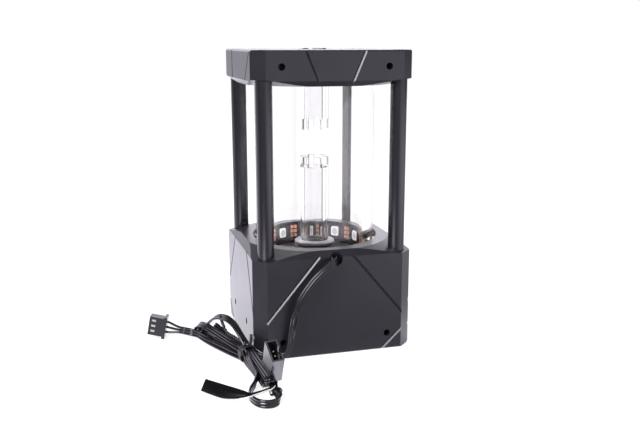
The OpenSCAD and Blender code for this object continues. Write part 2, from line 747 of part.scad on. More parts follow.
module stator_core() {
    color("#77777c") translate([0, 0, stator_z0]) linear_extrude(stator_h) {
        difference() {
            circle(r = stator_r);
            circle(r = stator_r - stator_yoke);
        }
        for (k = [0:tooth_count - 1]) rotate(360 / tooth_count * k) {
            translate([tooth_r + tooth_tip_t / 2, -tooth_w / 2])
                square([stator_r - stator_yoke / 2 - tooth_tip_t / 2 - tooth_r, tooth_w]);
            intersection() {
                difference() {
                    circle(r = tooth_r + tooth_tip_t);
                    circle(r = tooth_r);
                }
                translate([0, -tooth_w * 0.9]) square([stator_r, tooth_w * 1.8]);
            }
        }
    }
}

module stator_coils() {
    start = tooth_r + coil_in;
    depth = stator_r - stator_yoke - start - coil_out;
    color("#b5622c") for (k = [0:tooth_count - 1]) rotate([0, 0, 360 / tooth_count * k])
        translate([start, 0, stator_z0]) difference() {
            translate([0, -tooth_w / 2 - coil_side, -coil_end])
                cube([depth, tooth_w + 2 * coil_side, stator_h + 2 * coil_end]);
            translate([-over, -tooth_w / 2, 0]) cube([depth + 2 * over, tooth_w, stator_h]);
        }
}

module driver_board() {
    color("#1f5a3a") translate([0, 0, well_z - board_t]) {
        cylinder(r = board_r, h = board_t);
        for (k = [0:3]) rotate([0, 0, 45 + 90 * k])
            translate([board_r - chip_block_in, -chip_block / 2, -chip_block_h])
                cube([chip_block, chip_block, chip_block_h + eps]);
    }
}

module pump_cable_grommet() {
    color("#151516") translate([0, body_w / 2, grommet_z]) rotate([90, 0, 0]) difference() {
        union() {
            cylinder(r = grommet_flange_r - fit_gap, h = over);
            cylinder(r = grommet_hole_r - fit_gap, h = body_w / 2 - pocket_r);
        }
        translate([0, 0, -over]) cylinder(r = grommet_bore_r, h = body_w / 2);
    }
}

module bottom_cover() {
    color("#3b3a40") difference() {
        union() {
            translate([0, 0, cover_z0]) cylinder(r = cover_r, h = cover_t);
            translate([0, 0, cover_z1 - eps])
                ring(motor_r - motor_wall, motor_r, cover_rim_h + eps);
        }
        for (k = [0:5]) rotate([0, 0, 60 * k]) translate([cover_screw_ring, 0, 0]) {
            cylinder(r = m3_r + fit_gap, h = cover_z1 + over);
            translate([0, 0, cover_z0]) cylinder(r1 = m3_head_r + fit_gap, r2 = m3_r + fit_gap, h = m3_head_r - m3_r);
            translate([0, 0, -over]) cylinder(r = m3_head_r + fit_gap, h = cover_z0 + over + eps);
        }
    }
}

module cover_screws() {
    color("#202022") for (k = [0:5]) rotate([0, 0, 60 * k]) translate([cover_screw_ring, 0, cover_z0])
        difference() {
            union() {
                cylinder(r1 = m3_head_r, r2 = m3_r, h = m3_head_r - m3_r);
                cylinder(r = m3_r, h = m3_len);
            }
            mirror([0, 0, 1]) hex_socket(2, 1.2);
        }
}

// ---------- flat cable ----------

function unit(v) = v / norm(v);
function tangent(route, i) =
    unit(route[min(i + 1, len(route) - 1)] - route[max(i - 1, 0)]);
function across(v, t) = unit(v - (v * t) * t);
function side_at(sides, i) = [for (c = [0:2]) lookup(i, [for (k = sides) [k[0], k[1][c]]])];
// eight-sided flat section, as [along the width, along the thickness]
function flat_section(w, t) = let (a = w / 2, b = t / 2, c = t / 3)
    [[a, -b + c], [a, b - c], [a - c, b], [-a + c, b], [-a, b - c], [-a, -b + c], [-a + c, -b], [a - c, -b]];
function flat_rings(route, sides, w, t) = [for (i = [0:len(route) - 1])
    let (d = tangent(route, i), s = across(side_at(sides, i), d), n = cross(d, s))
    for (q = flat_section(w, t)) route[i] + q.x * s + q.y * n];

// flat strip along a route, with its width turned as the sides say
module ribbon(route, sides, w = ribbon_w, t = ribbon_t) {
    last = len(route) - 1;
    polyhedron(flat_rings(route, sides, w, t), concat(
        [[7, 6, 5, 4, 3, 2, 1, 0]],
        [for (i = [0:last - 1], k = [0:7], half = [0, 1]) let (a = 8 * i, m = (k + 1) % 8)
            half == 0 ? [a + k, a + m, a + 8 + m] : [a + k, a + 8 + m, a + 8 + k]],
        [[for (k = [0:7]) 8 * last + k]]));
}

module led_lead() { color("#19191b") ribbon(lead_route, lead_sides); }

module loose_loop() { color("#19191b") ribbon(loop_route, loop_sides); }

module plug_tail() { color("#19191b") ribbon(plug_route, plug_sides); }

module header_tail() { color("#19191b") ribbon(header_route, header_sides); }

module label_flag() { color("#141416") ribbon(flag_route, flag_sides, flag_w, flag_t); }

// tied hank: an outline with round ends, standing on the tie's thickness
module cable_hank() {
    a = hank_line[0];
    b = hank_line[1];
    c = hank_line[2];
    first = atan2(b.y - a.y, b.x - a.x);
    last = atan2(c.y - b.y, c.x - b.x);
    color("#19191b") translate([0, 0, tie_t]) linear_extrude(hank_h)
        polygon(concat(round_end(a, first + 90, first + 270), round_end(b, (first + last) / 2 - 90),
            round_end(c, last - 90, last + 90), round_end(b, (first + last) / 2 + 90)));
}

// points round p at its half width, from one heading to another; one point if only one is given
function round_end(p, from, to) = let (steps = is_undef(to) ? 0 : 9)
    [for (k = [0:steps]) let (a = from + (steps == 0 ? 0 : (to - from) * k / steps))
        [p.x + p.z * cos(a), p.y + p.z * sin(a)]];

module twist_tie() {
    mid = hank_line[1];
    color("#101011") translate([mid.x, mid.y, 0]) rotate([0, 0, 10]) difference() {
        translate([-mid.z - tie_t, -tie_w / 2, 0])
            cube([2 * (mid.z + tie_t), tie_w, hank_h + 2 * tie_t]);
        translate([-mid.z, -tie_w, tie_t]) cube([2 * mid.z, 2 * tie_w, hank_h]);
    }
}

// ---------- connectors on the cable ----------

// box with an open mouth over its pins
module header_shell() {
    color("#1a1a1c") translate(header_pose[0]) rotate(header_pose[1]) difference() {
        cube(header_size);
        translate([header_wall, header_wall, header_floor])
            cube([header_size.x - 2 * header_wall, header_size.y - 2 * header_wall, header_size.z]);
        translate([header_size.x - header_wall - over, (header_size.y - header_key_w) / 2,
                header_size.z - header_key_h])
            cube([2 * over + header_wall, header_key_w, header_key_h + over]);
    }
}

module header_pins() {
    color("silver") translate(header_pose[0]) rotate(header_pose[1])
        for (k = [0, 1, 2]) translate([header_size.x / 2 - pin_w / 2,
                header_size.y / 2 - 1.5 * pin_pitch + k * pin_pitch - pin_w / 2, header_floor])
            cube([pin_w, pin_w, pin_len]);
}

module plug_housing() {
    color("#1a1a1c") translate(plug_pose[0]) rotate(plug_pose[1]) difference() {
        union() {
            cube(plug_flange);
            translate([plug_flange.x - eps, (plug_flange.y - plug_size.y) / 2, (plug_flange.z - plug_size.z) / 2])
                cube([plug_size.x - plug_flange.x, plug_size.y, plug_size.z]);
        }
        plug_windows(plug_size.x - 3.4, 2.2, 1.4);
    }
}

// slots in the plug's broad side, one for each contact
module plug_windows(from, length, depth) {
    y_face = (plug_flange.y + plug_size.y) / 2;
    for (k = [-1:1]) translate([from, y_face - depth, plug_flange.z / 2 + k * window_pitch - window_w / 2])
        cube([length, depth + over, window_w]);
}

module plug_contacts() {
    color("silver") translate(plug_pose[0]) rotate(plug_pose[1])
        for (k = [-1:1]) translate([plug_size.x - 3.4,
                (plug_flange.y + plug_size.y) / 2 - 1.4, plug_flange.z / 2 + k * window_pitch - window_w / 2 + 0.1])
            cube([2.2, 0.9, window_w - 0.2]);
}

base_block();
top_cap();
glass_tube();
lower_glass_seal();
upper_glass_seal();
pillar_front_left();
pillar_front_right();
pillar_rear_left();
pillar_rear_right();
cap_screws();
base_screws();
lower_inlet_tube();
lower_collar();
lower_collar_seal();
upper_inlet_tube();
upper_collar();
upper_collar_seal();
fill_plug();
fill_plug_seal();
led_strip();
led_chips();
cable_sleeve();
intake_plate();
pump_housing();
pump_seal();
bearing_pin();
impeller();
rotor_magnet();
rotor_bush();
stator_core();
stator_coils();
driver_board();
pump_cable_grommet();
bottom_cover();
cover_screws();
led_lead();
cable_hank();
loose_loop();
plug_tail();
header_tail();
header_shell();
header_pins();
plug_housing();
plug_contacts();
label_flag();
twist_tie();
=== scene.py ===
"""Looks for the coolant pump reservoir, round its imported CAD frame.

Camera, studio, materials, cables and fine detail. Points are in millimetres in the part's own
frame, and MM turns them into metres. The part's front faces -Y.
"""

import math

import bmesh
import bpy
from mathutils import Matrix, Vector


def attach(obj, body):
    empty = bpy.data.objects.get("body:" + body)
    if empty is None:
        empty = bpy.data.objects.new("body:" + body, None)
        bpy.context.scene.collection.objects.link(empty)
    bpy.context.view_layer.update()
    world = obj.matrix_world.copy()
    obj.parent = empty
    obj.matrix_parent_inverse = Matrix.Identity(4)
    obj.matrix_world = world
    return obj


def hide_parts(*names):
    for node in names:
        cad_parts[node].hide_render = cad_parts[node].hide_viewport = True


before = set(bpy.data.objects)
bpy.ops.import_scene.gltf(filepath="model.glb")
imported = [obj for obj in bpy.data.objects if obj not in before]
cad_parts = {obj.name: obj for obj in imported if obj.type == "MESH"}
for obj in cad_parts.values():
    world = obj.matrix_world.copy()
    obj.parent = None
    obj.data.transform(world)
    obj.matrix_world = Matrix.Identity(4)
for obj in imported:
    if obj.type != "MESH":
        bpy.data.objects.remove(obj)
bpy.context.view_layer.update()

MM = 0.001
UP = Vector((0, 0, 1))
BODY = "reservoir"

scene = bpy.context.scene
scene.view_settings.view_transform = "Standard"


# ---------------------------------------------------------------- camera and lamps

LENS_MM = 45.17
SENSOR_MM = 36
CAMERA_PLACE = (-0.10821, -0.39686, 0.15070)
CAMERA_TILT = 77.885     # degrees up from straight down
CAMERA_TURN = -15.66     # degrees about the vertical, from looking along +Y

camera_data = bpy.data.cameras.new("camera")
camera_data.lens = LENS_MM
camera_data.sensor_width = SENSOR_MM
camera_data.clip_start = 0.01
camera = bpy.data.objects.new("camera", camera_data)
camera.location = CAMERA_PLACE
camera.rotation_euler = (math.radians(CAMERA_TILT), 0, math.radians(CAMERA_TURN))
scene.collection.objects.link(camera)
scene.camera = camera


def area_lamp(name, place, aim, size, energy):
    """A soft rectangular lamp at a place, turned to what it aims at."""
    lamp = bpy.data.lights.new(name, "AREA")
    lamp.shape = "RECTANGLE"
    lamp.size, lamp.size_y = size
    lamp.energy = energy
    holder = bpy.data.objects.new(name, lamp)
    holder.location = place
    holder.rotation_euler = (Vector(place) - Vector(aim)).to_track_quat("Z", "Y").to_euler()
    scene.collection.objects.link(holder)


area_lamp("key_left", place=(-0.71, -0.58, 0.64), aim=(0, -0.04, 0.04), size=(0.5, 0.5), energy=11)
area_lamp("top_soft", place=(0.0, 0.1, 1.1), aim=(0, 0, 0.05), size=(1.0, 1.0), energy=2.2)
area_lamp("fill_right", place=(0.9, -0.5, 0.5), aim=(0, 0, 0.06), size=(0.5, 0.7), energy=1.2)


# ---------------------------------------------------------------- shader helpers

def new_material(name):
    """A material and its emptied node tree."""
    material = bpy.data.materials.new(name)
    material.use_nodes = True
    material.node_tree.nodes.clear()
    return material, material.node_tree


def add_math(tree, operation, a, b):
    """A math node on two values, each a number or an output."""
    node = tree.nodes.new("ShaderNodeMath")
    node.operation = operation
    for socket, value in zip(node.inputs, (a, b)):
        if isinstance(value, (int, float)):
            socket.default_value = value
        else:
            tree.links.new(value, socket)
    return node.outputs[0]


def product(tree, a, b):
    """One value times another."""
    return add_math(tree, "MULTIPLY", a, b)


def total(tree, a, b):
    """One value plus another."""
    return add_math(tree, "ADD", a, b)


def axes_of(tree, vector):
    """The x, y and z of a vector."""
    split = tree.nodes.new("ShaderNodeSeparateXYZ")
    tree.links.new(vector, split.inputs[0])
    return split.outputs


def ramp(tree, value, stops):
    """A colour that follows a value from 0 to 1 along the stops."""
    node = tree.nodes.new("ShaderNodeValToRGB")
    elements = node.color_ramp.elements
    for element, (at, colour) in zip(elements, (stops[0], stops[-1])):
        element.position, element.color = at, (*colour, 1)
    for at, colour in stops[1:-1]:
        elements.new(at).color = (*colour, 1)
    tree.links.new(value, node.inputs[0])
    return node.outputs[0]


def curve(tree, value, stops):
    """A level that follows a value along straight stretches between the stops."""
    first, last = stops[0][0], stops[-1][0]
    peak = max(level for _, level in stops)
    share = tree.nodes.new("ShaderNodeMapRange")
    share.inputs["From Min"].default_value = first
    share.inputs["From Max"].default_value = last
    tree.links.new(value, share.inputs[0])
    greys = [((at - first) / (last - first), (level / peak,) * 3) for at, level in stops]
    return product(tree, ramp(tree, share.outputs[0], greys), peak)


def spread(tree, value, low, high):
    """A value from 0 to 1, spread between low and high."""
    node = tree.nodes.new("ShaderNodeMapRange")
    node.inputs["To Min"].default_value = low
    node.inputs["To Max"].default_value = high
    tree.links.new(value, node.inputs[0])
    return node.outputs[0]


def noise(tree, scale, detail, rough=0.5, stretch=(1, 1, 1)):
    """Noise in the object's own space, with so many blotches to the metre."""
    place = tree.nodes.new("ShaderNodeTexCoord")
    mapping = tree.nodes.new("ShaderNodeMapping")
    mapping.inputs["Scale"].default_value = stretch
    tree.links.new(place.outputs["Object"], mapping.inputs[0])
    texture = tree.nodes.new("ShaderNodeTexNoise")
    texture.inputs["Scale"].default_value = scale
    texture.inputs["Detail"].default_value = detail
    texture.inputs["Roughness"].default_value = rough
    tree.links.new(mapping.outputs[0], texture.inputs["Vector"])
    return texture.outputs["Fac"]


def bump(tree, shader, height, strength, distance):
    """Lets a value raise the shader's surface by up to a distance in metres."""
    node = tree.nodes.new("ShaderNodeBump")
    node.inputs["Strength"].default_value = strength
    node.inputs["Distance"].default_value = distance
    tree.links.new(height, node.inputs["Height"])
    tree.links.new(node.outputs[0], shader.inputs["Normal"])


def by_ray(tree, plain, gloss, through, seen):
    """One look for light, one in gloss, one through glass and one for the camera."""
    path = tree.nodes.new("ShaderNodeLightPath")
    look = plain.outputs[0]
    looks = {"Is Glossy Ray": gloss, "Is Transmission Ray": through, "Is Camera Ray": seen}
    for kind, other in looks.items():
        mix = tree.nodes.new("ShaderNodeMixShader")
        tree.links.new(path.outputs[kind], mix.inputs[0])
        tree.links.new(look, mix.inputs[1])
        tree.links.new(other.outputs[0], mix.inputs[2])
        look = mix.outputs[0]
    return look


# strength of the studio behind glass: as it is seen, and what it adds to gloss and to light
SEEN_THROUGH = 1.12
GLOSS_THROUGH = 0.3
LIGHT_THROUGH = 16.0


def through_glass(tree, glow):
    """The studio is white behind glass, and stronger where it gleams or lights through it."""
    depths = tree.nodes.new("ShaderNodeLightPath").outputs
    light = product(tree, add_math(tree, "MINIMUM", depths["Diffuse Depth"], 1.0), LIGHT_THROUGH)
    gleam = product(tree, add_math(tree, "MINIMUM", depths["Glossy Depth"], 1.0), GLOSS_THROUGH)
    tree.links.new(total(tree, total(tree, light, gleam), SEEN_THROUGH), glow.inputs["Strength"])


# ---------------------------------------------------------------- world

GLOSS_TINT = (1, 0.97, 1.08, 1)
GLOSS_LEVEL = 3.2
LIGHT_LEVEL = 0.9
TOWARD_KEY = (-0.63, -0.52, 0.57)    # from the part to a bright card behind the key lamp


def studio_world():
    """White to the camera and through glass. Gloss sees it bright low behind and toward the key."""
    world = bpy.data.worlds.new("studio")
    world.use_nodes = True
    tree = world.node_tree
    tree.nodes.clear()
    direction = tree.nodes.new("ShaderNodeTexCoord").outputs["Generated"]
    x, y, z = axes_of(tree, direction)
    by_height = curve(tree, z, [(-0.2, 0.5), (0.0, 0.5), (0.06, 0.56), (0.14, 0.85), (0.2, 1.0),
                                (0.34, 1.0), (0.5, 0.4), (0.7, 0.12), (1, 0.1)])
    by_side = curve(tree, y, [(-1, 0.55), (-0.8, 0.45), (-0.3, 0.1), (0, 0.08), (0.5, 0.35),
                              (0.85, 0.9), (1, 1)])
    by_turn = curve(tree, x, [(-1, 0.45), (-0.3, 0.58), (0.1, 0.8), (0.28, 1.05), (0.6, 0.9),
                              (0.85, 0.25), (1, 0.2)])
    level = product(tree, product(tree, by_height, product(tree, by_side, by_turn)), GLOSS_LEVEL)
    facing_key = tree.nodes.new("ShaderNodeVectorMath")
    facing_key.operation = "DOT_PRODUCT"
    facing_key.inputs[1].default_value = TOWARD_KEY
    tree.links.new(direction, facing_key.inputs[0])
    card = curve(tree, facing_key.outputs["Value"], [(-1, 0), (0.9, 0), (0.96, 4.5), (1, 4.5)])

    gloss, light, white, bright = (tree.nodes.new("ShaderNodeBackground") for _ in range(4))
    gloss.inputs["Color"].default_value = GLOSS_TINT
    tree.links.new(total(tree, level, card), gloss.inputs["Strength"])
    for plain in (light, white, bright):
        plain.inputs["Color"].default_value = (1, 1, 1, 1)
    light.inputs["Strength"].default_value = LIGHT_LEVEL
    through_glass(tree, bright)
    out = tree.nodes.new("ShaderNodeOutputWorld")
    tree.links.new(by_ray(tree, light, gloss, bright, white), out.inputs[0])
    return world


scene.world = studio_world()


# ---------------------------------------------------------------- materials

GRAIN_STRENGTH = 0.35
DULL_PATCHES = 90
DULL_ROUGHNESS = 0.012


def principled(name, base, metal=0.0, specular=0.5):
    """A material of one principled shader, with its tree and the shader."""
    material, tree = new_material(name)
    shader = tree.nodes.new("ShaderNodeBsdfPrincipled")
    shader.inputs["Base Color"].default_value = (*base, 1)
    shader.inputs["Metallic"].default_value = metal
    shader.inputs["Specular IOR Level"].default_value = specular
    out = tree.nodes.new("ShaderNodeOutputMaterial")
    tree.links.new(shader.outputs[0], out.inputs[0])
    return material, tree, shader


def grained(name, dark, light, rough, patches, grain, depth, metal=0.0, specular=0.5,
            stretch=(1, 1, 1)):
    """A surface that drifts a little between two colours and two roughnesses, over a fine grain.

    Patches and grain are counts to the metre, and depth is the grain's height in metres.
    """
    material, tree, shader = principled(name, dark, metal, specular)
    drift = noise(tree, patches, 4, 0.55, stretch)
    tree.links.new(ramp(tree, drift, [(0.3, dark), (0.7, light)]), shader.inputs["Base Color"])
    tree.links.new(spread(tree, drift, *rough), shader.inputs["Roughness"])
    bump(tree, shader, noise(tree, grain, 2, 0.6, stretch), GRAIN_STRENGTH, depth)
    return material


def clear(name, tint, ior):
    """A clear solid with slightly duller patches."""
    material, tree, shader = principled(name, tint)
    shader.inputs["Transmission Weight"].default_value = 1
    shader.inputs["IOR"].default_value = ior
    dull = spread(tree, noise(tree, DULL_PATCHES, 2), 0, DULL_ROUGHNESS)
    tree.links.new(dull, shader.inputs["Roughness"])
    return material


# block, cap and pillars
acetal = grained("acetal_black", (0.0085, 0.0072, 0.0122), (0.0105, 0.0092, 0.015),
                 rough=(0.30, 0.36), patches=60, grain=2600, depth=1e-5)
pillar_black = grained("pillar_black", (0.0064, 0.0055, 0.0088), (0.0082, 0.0072, 0.011),
                       rough=(0.22, 0.27), patches=80, grain=2200, depth=1e-5, stretch=(1, 1, 0.1))
screw_black = grained("screw_black", (0.012, 0.012, 0.013), (0.02, 0.02, 0.022),
                      rough=(0.3, 0.42), patches=300, grain=3000, depth=1e-5, metal=0.4)
rubber = grained("rubber_black", (0.008, 0.008, 0.008), (0.014, 0.014, 0.014),
                 rough=(0.55, 0.7), patches=200, grain=2500, depth=3e-5)
chrome = grained("chrome", (0.33, 0.32, 0.345), (0.4, 0.39, 0.415),
                 rough=(0.3, 0.38), patches=120, grain=1500, depth=4e-6, metal=1.0)
nickel = grained("nickel_satin", (0.56, 0.56, 0.57), (0.64, 0.64, 0.65),
                 rough=(0.24, 0.32), patches=120, grain=1500, depth=4e-6, metal=1.0)
glass = clear("glass_clear", (0.978, 0.972, 0.982), 1.47)
acrylic = clear("acrylic_clear", (0.95, 0.946, 0.957), 1.42)

# cables, plug, header, label and tie
sheath = grained("cable_sheath", (0.0036, 0.0030, 0.005), (0.0052, 0.0044, 0.0072),
                 rough=(0.12, 0.17), patches=150, grain=1800, depth=5e-6, specular=0.6)
# the cable sleeve is a darker copy of the rubber: painted shade, so the hole where the lead leaves
# the block reads black
sleeve_painted_shade = grained("sleeve_painted_shade", (0.0015, 0.0015, 0.002), (0.0025, 0.0025, 0.003),
                       rough=(0.5, 0.6), patches=200, grain=2500, depth=3e-5, specular=0.2)
nylon = grained("nylon_black", (0.006, 0.006, 0.008), (0.009, 0.009, 0.012),
                rough=(0.22, 0.3), patches=200, grain=2500, depth=1e-5, specular=0.4)
# the header shell is a lighter, glossier copy of the plug's nylon: painted light, so its faces show
# lighter
header_nylon_painted_light = grained("header_nylon_painted_light", (0.010, 0.009, 0.012), (0.014, 0.013, 0.017),
                       rough=(0.18, 0.25), patches=200, grain=2500, depth=1e-5, specular=1.0)
tinned = grained("tinned", (0.33, 0.32, 0.32), (0.45, 0.44, 0.43),
                 rough=(0.2, 0.3), patches=400, grain=3000, depth=5e-6, metal=1.0)
label_face = grained("label_face", (0.0025, 0.0025, 0.003), (0.004, 0.004, 0.0045),
                     rough=(0.3, 0.38), patches=150, grain=1500, depth=1e-5, specular=0.08)
label_back = grained("label_back", (0.62, 0.62, 0.62), (0.75, 0.75, 0.74),
                     rough=(0.4, 0.5), patches=150, grain=1500, depth=1e-5)
tie_plastic = grained("tie_plastic", (0.008, 0.008, 0.009), (0.014, 0.014, 0.015),
                      rough=(0.26, 0.36), patches=200, grain=1500, depth=3e-5)

# light ring
film_dark = grained("strip_film", (0.012, 0.010, 0.014), (0.022, 0.018, 0.024),
                    rough=(0.22, 0.34), patches=300, grain=2500, depth=1e-5)
copper = grained("copper_pad", (0.50, 0.23, 0.14), (0.64, 0.32, 0.21),
                 rough=(0.3, 0.4), patches=600, grain=4000, depth=1e-5, metal=0.3)
print_white = grained("print_white", (0.7, 0.7, 0.7), (0.85, 0.85, 0.84),
                      rough=(0.5, 0.6), patches=500, grain=4000, depth=1e-5)
chip_white = grained("chip_white", (0.84, 0.83, 0.84), (0.92, 0.91, 0.92),
                     rough=(0.3, 0.4), patches=500, grain=3000, depth=1e-5)
chip_window = grained("chip_window", (0.52, 0.51, 0.52), (0.64, 0.63, 0.64),
                      rough=(0.06, 0.14), patches=700, grain=2000, depth=1e-5)

# pump
shell_dark = grained("shell_dark", (0.018, 0.018, 0.02), (0.028, 0.028, 0.03),
                     rough=(0.4, 0.5), patches=150, grain=2000, depth=2e-5)
plate_grey = grained("plate_grey", (0.06, 0.06, 0.065), (0.09, 0.09, 0.095),
                     rough=(0.4, 0.5), patches=150, grain=2000, depth=2e-5)
amber = grained("moulded_amber", (0.26, 0.16, 0.07), (0.34, 0.22, 0.10),
                rough=(0.35, 0.45), patches=150, grain=2000, depth=2e-5)
ferrite = grained("ferrite", (0.05, 0.05, 0.053), (0.08, 0.08, 0.083),
                  rough=(0.4, 0.55), patches=300, grain=2500, depth=3e-5, metal=0.5)
carbon = grained("carbon_bush", (0.03, 0.03, 0.033), (0.05, 0.05, 0.053),
                 rough=(0.4, 0.5), patches=300, grain=2500, depth=2e-5)
ceramic = grained("ceramic", (0.8, 0.8, 0.78), (0.88, 0.88, 0.86),
                  rough=(0.12, 0.2), patches=200, grain=2000, depth=5e-6)
lamination = grained("lamination", (0.3, 0.3, 0.31), (0.42, 0.42, 0.43),
                     rough=(0.3, 0.45), patches=60, grain=1200, depth=1e-4, metal=1.0,
                     stretch=(0.2, 0.2, 10))
winding = grained("winding", (0.42, 0.16, 0.07), (0.62, 0.28, 0.14),
                  rough=(0.28, 0.4), patches=100, grain=900, depth=2e-4, metal=0.7,
                  stretch=(1, 1, 8))
board = grained("board", (0.012, 0.08, 0.035), (0.02, 0.12, 0.05),
                rough=(0.25, 0.35), patches=200, grain=1500, depth=1e-5)

LOOKS = {
    acetal: ["base_block", "top_cap"],
    pillar_black: ["pillar_front_left", "pillar_front_right",
                   "pillar_rear_left", "pillar_rear_right"],
    screw_black: ["cap_screws", "base_screws", "cover_screws"],
    rubber: ["lower_glass_seal", "upper_glass_seal", "lower_collar_seal", "upper_collar_seal",
             "fill_plug_seal", "pump_seal", "pump_cable_grommet"],
    chrome: ["lower_collar", "upper_collar"],
    nickel: ["fill_plug"],
    glass: ["glass_tube"],
    acrylic: ["lower_inlet_tube", "upper_inlet_tube"],
    sleeve_painted_shade: ["cable_sleeve"],
    nylon: ["plug_housing"],
    header_nylon_painted_light: ["header_shell"],
    tinned: ["header_pins", "plug_contacts"],
    film_dark: ["led_strip"],
    shell_dark: ["pump_housing", "bottom_cover"],
    plate_grey: ["intake_plate"],
    amber: ["impeller"],
    ferrite: ["rotor_magnet"],
    carbon: ["rotor_bush"],
    ceramic: ["bearing_pin"],
    lamination: ["stator_core"],
    winding: ["stator_coils"],
    board: ["driver_board"],
}
for material, names in LOOKS.items():
    for name in names:
        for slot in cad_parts[name].material_slots:
            slot.material = material


# ---------------------------------------------------------------- meshes

def new_object(name, bm, *materials):
    """An object from a finished mesh, in the scene."""
    mesh = bpy.data.meshes.new(name)
    bm.to_mesh(mesh)
    bm.free()
    for material in materials:
        mesh.materials.append(material)
    made = bpy.data.objects.new(name, mesh)
    scene.collection.objects.link(made)
    return made


def smooth_line(points, step):
    """A Catmull-Rom curve through the points, which may carry extra numbers, about a step apart."""
    line = []
    ends_doubled = [points[0], *points, points[-1]]
    for before, start, stop, after in zip(ends_doubled, points, points[1:], ends_doubled[3:]):
        count = max(1, round(math.dist(start[:3], stop[:3]) / step))
        for k in range(count):
            t = k / count
            line.append(tuple(0.5 * (2 * q + (r - p) * t + (2 * p - 5 * q + 4 * r - s) * t * t
                                     + (3 * q - p - 3 * r + s) * t ** 3)
                              for p, q, r, s in zip(before, start, stop, after)))
    line.append(tuple(points[-1]))
    return line


def frames_along(line, free_twist=False):
    """Place, width direction and thickness direction at each point of a line.

    A point is (x, y, z, width x, y, z). The width is kept from flipping over between two points,
    unless it may twist freely.
    """
    places = [Vector(p[:3]) for p in line]
    frames = []
    for i, p in enumerate(line):
        run = (places[min(i + 1, len(line) - 1)] - places[max(i - 1, 0)]).normalized()
        width = Vector(p[3:6])
        width = (width - width.dot(run) * run).normalized()
        if frames and not free_twist and width.dot(frames[-1][1]) < 0:
            width = -width
        frames.append((places[i], width, run.cross(width)))
    return frames


def sweep(bm, frames, section, material=0):
    """Skins a section over the frames and closes both ends.

    The section is a list of (along the width, along the thickness), or a function that gives one
    for each frame.
    """
    rings = [[bm.verts.new((place + width * a + thickness * b) * MM)
              for a, b in (section(i) if callable(section) else section)]
             for i, (place, width, thickness) in enumerate(frames)]
    count = len(rings[0])
    for ring, following in zip(rings, rings[1:]):
        for k in range(count):
            m = (k + 1) % count
            face = bm.faces.new((ring[k], ring[m], following[m], following[k]))
            face.smooth = True
            face.material_index = material
    bm.faces.new(list(reversed(rings[0]))).material_index = material
    bm.faces.new(rings[-1]).material_index = material


# ---------------------------------------------------------------- floor

PAPER_GLOW = 1.35
PAPER_GLOW_SHARE = 0.55
FLOOR_CORNERS = ((-1.6, -1.2), (1.6, -1.2), (1.6, 1.6), (-1.6, 1.6))


def floor_material():
    """White paper, its shadows softened to the eye. Gloss sees it bright behind and to one side."""
    material, tree = new_material("floor_white")
    plain, paper = (tree.nodes.new("ShaderNodeBsdfDiffuse") for _ in range(2))
    tone = ramp(tree, noise(tree, 3, 2), [(0.3, (0.86, 0.86, 0.865)), (0.7, (0.88, 0.88, 0.88))])
    for diffuse in (plain, paper):
        tree.links.new(tone, diffuse.inputs["Color"])
    glow = tree.nodes.new("ShaderNodeEmission")
    glow.inputs["Strength"].default_value = PAPER_GLOW
    seen = tree.nodes.new("ShaderNodeMixShader")
    seen.inputs[0].default_value = PAPER_GLOW_SHARE
    tree.links.new(paper.outputs[0], seen.inputs[1])
    tree.links.new(glow.outputs[0], seen.inputs[2])

    # what gloss sees over the floor, by the distance in metres from the part's axis
    x, y, _ = axes_of(tree, tree.nodes.new("ShaderNodeTexCoord").outputs["Object"])
    far = curve(tree, y, [(-1.2, 0.6), (-0.25, 0.42), (-0.115, 0.66), (-0.055, 0.65), (-0.042, 0.7),
                          (-0.034, 1.8), (0, 2.1), (0.083, 2.6), (0.3, 2.6), (1.6, 1.6)])
    side = curve(tree, x, [(-1.6, 0.45), (-0.6, 0.5), (-0.13, 0.72), (-0.05, 1.0), (0.05, 1.0),
                           (0.1, 0.4), (1.6, 0.4)])
    # bright patches under the hank, before the front left corner and to the right
    under = product(tree, curve(tree, y, [(-0.091, 0), (-0.086, 2.0), (-0.066, 2.0), (-0.058, 0)]),
                    curve(tree, x, [(-0.075, 0), (-0.06, 1), (-0.033, 1), (-0.024, 0)]))
    corner = product(tree, curve(tree, y, [(-0.24, 0), (-0.22, 5), (-0.09, 5), (-0.075, 0)]),
                     curve(tree, x, [(-0.18, 0), (-0.16, 1), (-0.085, 1), (-0.07, 0)]))
    right = product(tree, curve(tree, y, [(-1.2, 1), (-0.12, 1), (-0.04, 0)]),
                    curve(tree, x, [(0.02, 0), (0.07, 0.5), (0.12, 1.2), (0.4, 2.6), (1.6, 1.6)]))
    patches = total(tree, total(tree, under, corner), right)
    gloss = tree.nodes.new("ShaderNodeEmission")
    gloss.inputs["Color"].default_value = GLOSS_TINT
    tree.links.new(total(tree, product(tree, far, side), patches), gloss.inputs["Strength"])

    bright = tree.nodes.new("ShaderNodeEmission")
    through_glass(tree, bright)
    out = tree.nodes.new("ShaderNodeOutputMaterial")
    tree.links.new(by_ray(tree, plain, gloss, bright, seen), out.inputs[0])
    return material


def make_floor():
    """A flat white floor, wider than the camera sees."""
    bm = bmesh.new()
    bm.faces.new([bm.verts.new((x, y, 0)) for x, y in FLOOR_CORNERS])
    new_object("floor", bm, floor_material())


make_floor()


# ---------------------------------------------------------------- cables

CORE_R = 0.65
CORE_PITCH = 1.3
MAIN_STEP = 1.5
HEADER_STEP = 1.4

PLUG_FACE = Vector((-78.1, 4.6, 5.9))
PLUG_UP = Vector((0.19, -0.05, 0.98)).normalized()
PLUG_PITCH = 2.8
WIRE_STEPS = 12
WIRE_SAG = 0.15
WIRE_SAG_MORE = 0.25     # more for the top wire, less for the bottom one

